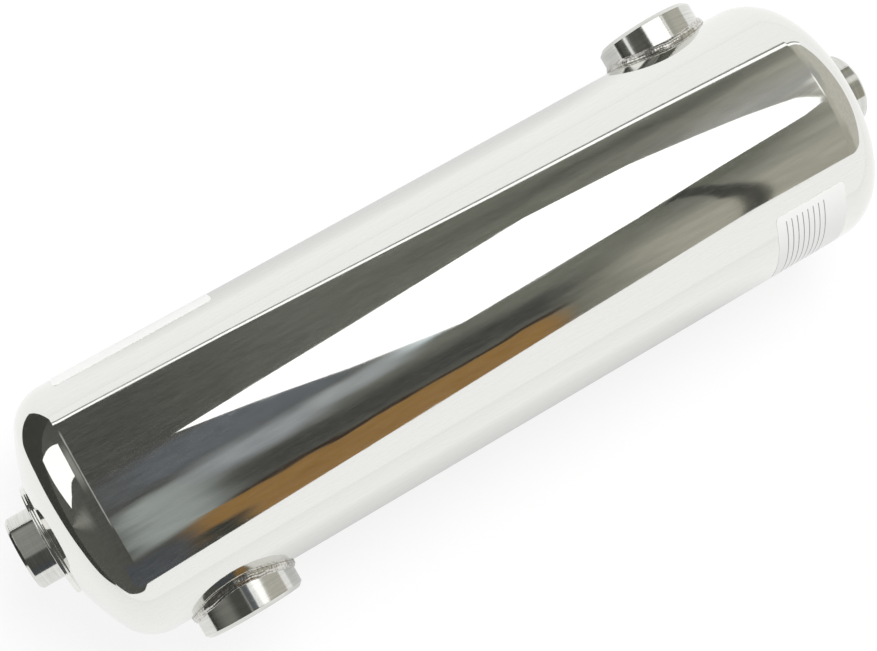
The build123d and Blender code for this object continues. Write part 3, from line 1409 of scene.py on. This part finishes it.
@dataclass
class Room:
    """The world: white behind the part and for soft light, and a dim room in reflections.

    The room goes from dark at the left to pale at the right, with areas of other tones. Slow
    noise shifts the directions a little, so that the areas have cloudy edges, and another makes
    their light uneven.
    """

    cloud_scale: Triple = (22.0, 0.1, 1.0)
    cloud_shift: Triple = (0.04, 9.0, 0.0)
    uneven_scale: Triple = (55.0, 0.22, 1.0)
    uneven_range: Pair = (0.7, 1.3)
    reflected: float = 1.25
    soft_light: float = 0.62
    # Grey from the left to the right, as (place, colour)
    greys: tuple[tuple[float, str], ...] = (
        (0.0, "#4e4e4a"),
        (0.5, "#444441"),
        (0.56, "#5b5c56"),
        (0.63, "#65665d"),
        (0.68, "#73736c"),
        (0.74, "#a3a297"),
        (0.85, "#b1afa6"),
    )
    # Areas of the room, each laid over the ones before it
    tones: tuple[RoomTone, ...] = (
        # Upper right and left: paler walls, and a dark beam under the surround's edge
        RoomTone("#989895", (0.37, 0.7), (102, 122), (0.04, 12)),
        RoomTone("#949491", (0.26, 0.37), (108, 118), (0.06, 7)),
        RoomTone("#55564f", (0.2, 0.44), (138, 151), (0.12, 6)),
        RoomTone("#7f7f7b", (-0.34, -0.14), (114, 148), (0.04, 12)),
        RoomTone("#979794", (-0.11, -0.06), (74, 163), (0.015, 6)),
        # The blue-grey cloud and what lies about it
        RoomTone("#575b60", (-0.03, 0.15), (84, 108), (0.05, 5)),
        RoomTone("#3d3e3b", (0.04, 0.27), (46, 63), (0.03, 5)),
        RoomTone("#8b918f", (-0.035, 0.025), (40, 79), (0.02, 4)),
        RoomTone("#888c90", (0.02, 0.1), (66, 82), (0.025, 5)),
        RoomTone("#8f9496", (0.09, 0.17), (71, 82), (0.02, 4)),
        RoomTone("#c4cfd3", (0.165, 0.27), (77, 90), (0.014, 3)),
        RoomTone("#43464a", (-0.4, 0.0), (12, 36), (0.02, 3)),
        # A wooden shelf with a dark edge
        RoomTone("#33291f", (0.03, 0.26), (42.5, 45.5), (0.02, 1)),
        RoomTone("#84653a", (0.004, 0.25), (18, 42.5), (0.014, 0.7)),
        RoomTone("#33342f", (0.0, 0.034), (12, 30), (0.014, 2)),
        # The olive wall at the right
        RoomTone("#9b998d", (0.3, 0.7), (22, 58), (0.05, 8)),
        RoomTone("#5c5d54", (0.3, 0.42), (72, 88), (0.05, 6)),
        # Spill round the soft box that the sockets show
        RoomTone(WHITE, (0.17, 0.41), (85.5, 93), (0.012, 1)),
        RoomTone("#f2f2ee", (0.44, 0.5), (92, 112), (0.008, 4)),
        RoomTone("#7c7c77", (-1.3, -0.62), (80, 94), (0.16, 10)),
    )

    def flattened(self, tree: Tree) -> Node:
        """Turns a direction into (length, turn, 0), the turn being ATAN2(Z, -Y) in degrees.

        Args:
            tree: The world's node tree.

        Returns:
            The node whose output is the flat place.
        """
        direction = add_node(tree, "TexCoord").outputs["Generated"]
        split = add_node(tree, "SeparateXYZ", {0: direction})
        x, y, z = split.outputs
        ahead = add_node(tree, "Math", {0: y, 1: -1.0}, operation="MULTIPLY")
        angle = add_node(tree, "Math", {0: z, 1: ahead}, operation="ARCTAN2")
        degrees = add_node(tree, "Math", {0: angle}, operation="DEGREES")
        return add_node(tree, "CombineXYZ", {"X": x, "Y": degrees})

    def colour(self, tree: Tree) -> Node:
        """Lays the tones over the greys and makes their light uneven.

        Args:
            tree: The world's node tree.

        Returns:
            The node whose output is the room's colour.
        """
        flat = self.flattened(tree)
        noises = []
        for scale in (self.cloud_scale, self.uneven_scale):
            sized = add_node(tree, "VectorMath", {0: flat, 1: scale}, operation="MULTIPLY")
            sockets = {"Vector": sized, "Scale": 1.0, "Detail": 4.0}
            noises.append(add_node(tree, "TexNoise", sockets).outputs["Color"])
        centred = {0: noises[0], 1: (0.5, 0.5, 0.5)}
        shift = add_node(tree, "VectorMath", centred, operation="SUBTRACT")
        sockets = {0: shift, 1: self.cloud_shift, 2: flat}
        moved = add_node(tree, "VectorMath", sockets, operation="MULTIPLY_ADD")
        length, turn, _ = add_node(tree, "SeparateXYZ", {0: moved}).outputs
        along = add_node(tree, "MapRange", {"Value": length, "From Min": -1.0, "From Max": 1.0})
        room = add_node(tree, "ValToRGB", {0: along}, self.greys)
        for tone in self.tones:
            sockets = {0: tone.mask(tree, length, turn), 1: room, 2: linear(tone.colour)}
            room = add_node(tree, "MixRGB", sockets)
        low, high = self.uneven_range
        sockets = {"Value": noises[1], "To Min": low, "To Max": high}
        uneven = add_node(tree, "MapRange", sockets)
        return add_node(tree, "VectorMath", {0: room, 1: uneven}, operation="MULTIPLY")

    def build(self) -> None:
        """Makes the world: white to the camera, the room to reflections, soft light to the rest."""
        world = bpy.data.worlds.new("studio")
        world.use_nodes = True
        bpy.context.scene.world = world
        tree = world.node_tree
        tree.nodes.clear()
        path = add_node(tree, "LightPath")
        seen, soft, dim = (
            add_node(tree, "Background", {"Color": colour, "Strength": strength})
            for colour, strength in (
                (linear(WHITE), 1.0),
                (linear(WHITE), self.soft_light),
                (self.colour(tree), self.reflected),
            )
        )
        for ray, one in (("Is Glossy Ray", dim), ("Is Camera Ray", seen)):
            soft = add_node(tree, "MixShader", {0: path.outputs[ray], 1: soft, 2: one})
        add_node(tree, "OutputWorld", {"Surface": soft})


@dataclass
class Studio:
    """White floor, soft lamp and the cards that a mirror-polished part shows.

    The cards are seen by reflections alone: a soft box close overhead, a low white surround whose
    top edge rises and falls round the part, a window beyond the left end, and a dim room.
    """

    layout: Layout
    surround_radius: float = 1500.0
    window_radius: float = 1300.0
    stand_radius: float = 1650.0
    softbox_height: float = 682.0
    table_height: float = 1.0
    floor_half: float = 6000.0
    softbox_glow: float = 1.6
    window_glow: float = 1.3
    surround_glow: float = 1.03
    # A brighter strip at the surround's top edge is a painted highlight, and the grey strip under it
    # is a painted shadow line
    lip_highlight_glow: float = 1.35
    lip_deg: float = 2.2
    lip_shadow_deg: float = 1.3
    lip_from_azimuth: float = 30.0
    lip_shadow_tint: str = "#8b8b87"
    table_tint: str = "#3a3a36"
    stand_tint: str = "#3b3b38"
    lamp_size: float = 0.9
    lamp_watts: float = 14.0
    lamp_place: Triple = (0.35, 0.4, 1.5)
    # The white surround's top edge as (azimuth, elevation) in degrees round the part
    surround: tuple[Pair, ...] = (
        (-141, -2), (-109, 9), (-90, 20.5), (-73, 28), (-60, 31), (-45, 22), (-30, 11),
        (-10, 4.5), (0, 5), (10, 8.5), (20, 11), (33, 15), (45, 24), (52.5, 29), (56, 28),
        (65, 24.4), (74, 21.3), (90, 12.1), (98, 8.6), (106, 7),
    )
    # A window's outline beyond the left end, as (azimuth, elevation)
    window: tuple[Pair, ...] = (
        (141, 5.3), (116.7, 22.5), (122.4, 37.9), (130.9, 49.2), (146.3, 41.6),
        (162.6, 33.1), (171.7, 22.1), (158.6, 8.8), (147.8, -0.7),
    )
    # The soft box's corners as (x, y) over the part
    softbox: tuple[Pair, ...] = (
        (-140, 242), (-69, 281), (27, 324), (221, 431), (320, 366), (405, 206), (444, 112),
        (458, 10), (456, -35), (440, -60), (353, -84), (265, -122), (102, -158), (2, -17),
        (-74, 129),
    )
    # A dark stand beyond the surround, as its two edges in (azimuth, elevation)
    stand: tuple[tuple[Pair, Pair], ...] = (
        ((-28.5, 66.5), (-32.0, 65.5)),
        ((-23.6, 66.5), (-33.0, 64.5)),
        ((-31.6, 63.6), (-40.4, 60.4)),
        ((-41.3, 58.4), (-50.8, 51.5)),
        ((-47.7, 52.2), (-53.3, 47.2)),
        ((-52.7, 44.9), (-56.6, 41.3)),
        ((-60.4, 27.5), (-62.0, 28.1)),
    )
    # The dark table beyond the white sheet's left end: the sheet's edge, then far corners
    table: tuple[Pair, ...] = (
        (-336, 669), (-273, 187), (-298, 96), (-361, 86), (-462, 30), (-621, -75),
        (-792, -280), (-2316, -1764), (-5900, -4500), (-5900, 5900), (-1000, 5900),
    )

    def build(self) -> None:
        """Sets up the floor, the lamp, the cards and the world."""
        half = self.floor_half
        corners = [(-half, -half, 0), (half, -half, 0), (half, half, 0), (-half, half, 0)]
        floor = self.sheet("floor", corners, SweepPaper("floor_white", self.layout.half_shell))
        self.lamp()
        overhead = [(x, y, self.softbox_height) for x, y in self.softbox]
        self.card("softbox", overhead, WHITE, self.softbox_glow)
        window = [self.round_part(a, e, self.window_radius) for a, e in self.window]
        self.card("window", window, WHITE, self.window_glow)
        table = [(x, y, self.table_height) for x, y in self.table]
        self.card("table_beyond", table, self.table_tint)
        for number, (one, other) in enumerate(zip(self.surround, self.surround[1:])):
            self.surround_piece(number, one, other)
        for number, (one, other) in enumerate(zip(self.stand, self.stand[1:])):
            corners = [self.round_part(a, e, self.stand_radius) for a, e in (*one, *other[::-1])]
            self.card(f"stand_{number}", corners, self.stand_tint)
        Room().build()
        log.info("studio: floor, lamp, soft box, window, stand, surround and room")

    def round_part(self, azimuth: float, elevation: float, radius: float) -> Triple:
        """Place on an upright cylinder round the part, seen from its axis's height.

        Args:
            azimuth: Angle in degrees from +X towards +Y.
            elevation: Angle in degrees over the horizon.
            radius: The cylinder's radius in millimetres.

        Returns:
            The place in millimetres.
        """
        turn, tilt = math.radians(azimuth), math.radians(elevation)
        height = self.layout.shell_radius + radius * math.tan(tilt)
        return radius * math.cos(turn), radius * math.sin(turn), height

    def surround_piece(self, number: int, one: Pair, other: Pair) -> None:
        """One flat length of the surround, its top edge a painted highlight over a painted shadow
        line.

        Args:
            number: Its place in the row.
            one: Azimuth and elevation of its first top corner.
            other: The same for its second.
        """
        drop = 0.0
        if one[0] >= self.lip_from_azimuth:
            lip, gap = self.lip_deg, self.lip_shadow_deg
            # The lip strip is a painted highlight, and the grey strip under it is a painted shadow
            # line
            steps = [(lip, WHITE, self.lip_highlight_glow), (gap, self.lip_shadow_tint, 1.0)]
            for level, (tall, colour, strength) in enumerate(steps):
                ends = ((one, drop), (other, drop), (other, drop + tall), (one, drop + tall))
                corners = [self.round_part(a, e - d, self.surround_radius) for (a, e), d in ends]
                self.card(f"surround_lip_{number:02d}_{level}", corners, colour, strength)
                drop += tall
        top = [self.round_part(a, e - drop, self.surround_radius) for a, e in (other, one)]
        foot = [(x, y, min(0.0, z)) for x, y, z in reversed(top)]
        self.card(f"surround_{number:02d}", [*foot, *top], WHITE, self.surround_glow)

    def sheet(self, name: str, corners: list[Triple], finish: Finish) -> bpy.types.Object:
        """A flat piece of the studio.

        Args:
            name: Its name.
            corners: Its corners in millimetres, in order.
            finish: Its finish.

        Returns:
            The new object.
        """
        mesh = bpy.data.meshes.new(name)
        places = [[c * MM for c in corner] for corner in corners]
        mesh.from_pydata(places, [], [list(range(len(corners)))])
        mesh.materials.append(finish.material())
        made = bpy.data.objects.new(name, mesh)
        bpy.context.scene.collection.objects.link(made)
        return made

    def card(self, name: str, corners: list[Triple], colour: str, strength: float = 1.0) -> None:
        """A flat card that only reflections see.

        Args:
            name: Its name.
            corners: Its corners in millimetres, in order.
            colour: Its sRGB hex colour.
            strength: How strongly it glows.
        """
        card = self.sheet(name, corners, Glow(f"card_{name}", colour, strength))
        card.visible_camera = False
        card.visible_diffuse = False
        card.visible_shadow = False

    def lamp(self) -> None:
        """The soft box's light on the floor and the labels, without a second reflection."""
        light = bpy.data.lights.new("softbox_light", "AREA")
        light.shape = "DISK"
        light.size = self.lamp_size
        light.energy = self.lamp_watts
        lamp = bpy.data.objects.new("softbox_light", light)
        spot = Vector(self.lamp_place)
        facing = (-spot).to_track_quat("-Z", "Y").to_matrix().to_4x4()
        lamp.matrix_world = Matrix.Translation(spot) @ facing
        lamp.visible_glossy = False
        bpy.context.scene.collection.objects.link(lamp)


@dataclass(frozen=True)
class PhotoCamera:
    """The photograph's camera: almost overhead, with the part turned across the frame."""

    place: Triple = (-168.1, -32.9, 884.2)
    aim: Triple = (-12.4, -2.9, 66.5)
    roll_deg: float = -30.05
    focal_px: float = 1668.0
    frame_width_px: float = 877.0
    sensor_mm: float = 36.0
    clip_start: float = 0.01

    def build(self) -> None:
        """Makes the camera. Its right is across the view and +Y, turned about it by the roll."""
        forward = (Vector(self.aim) - Vector(self.place)).normalized()
        level = forward.cross(Vector((0, 1, 0))).normalized()
        right = Matrix.Rotation(math.radians(self.roll_deg), 3, -forward) @ level
        up = right.cross(forward)
        matrix = Matrix((right, up, -forward)).transposed().to_4x4()
        matrix.translation = Vector(self.place) * MM
        data = bpy.data.cameras.new("photo_camera")
        data.sensor_fit = "HORIZONTAL"
        data.sensor_width = self.sensor_mm
        data.lens = self.focal_px / self.frame_width_px * self.sensor_mm
        data.clip_start = self.clip_start
        camera = bpy.data.objects.new("photo_camera", data)
        camera.matrix_world = matrix
        bpy.context.scene.collection.objects.link(camera)
        bpy.context.scene.camera = camera


def main() -> None:
    """Builds the exchanger, its studio and its camera."""
    logging.basicConfig(level=logging.INFO, format="%(name)s: %(message)s")
    bpy.context.scene.view_settings.view_transform = "Standard"
    layout = Layout.from_frame()
    PhotoCamera().build()
    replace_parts(Shell(layout).build(), "shell_tube")
    for side in Side:
        Head(layout).build(side)
        EndSocket(layout).build(side)
        SideSocket(layout).build(side)
        WeldBead(layout).build(side)
    TubeBundle().build()
    left = {"middle_x": -148.0, "middle_angle": 4.8, "half_length": 42.0, "half_width": 25.0}
    right = {"middle_x": 168.5, "middle_angle": 150.5, "half_length": 20.5, "half_width": 26.0}
    Sticker(layout, FILM, "left_sticker", **left).build()
    Sticker(layout, RULED_FILM, "right_sticker", **right).build()
    Studio(layout).build()


if __name__ == "__main__":
    main()
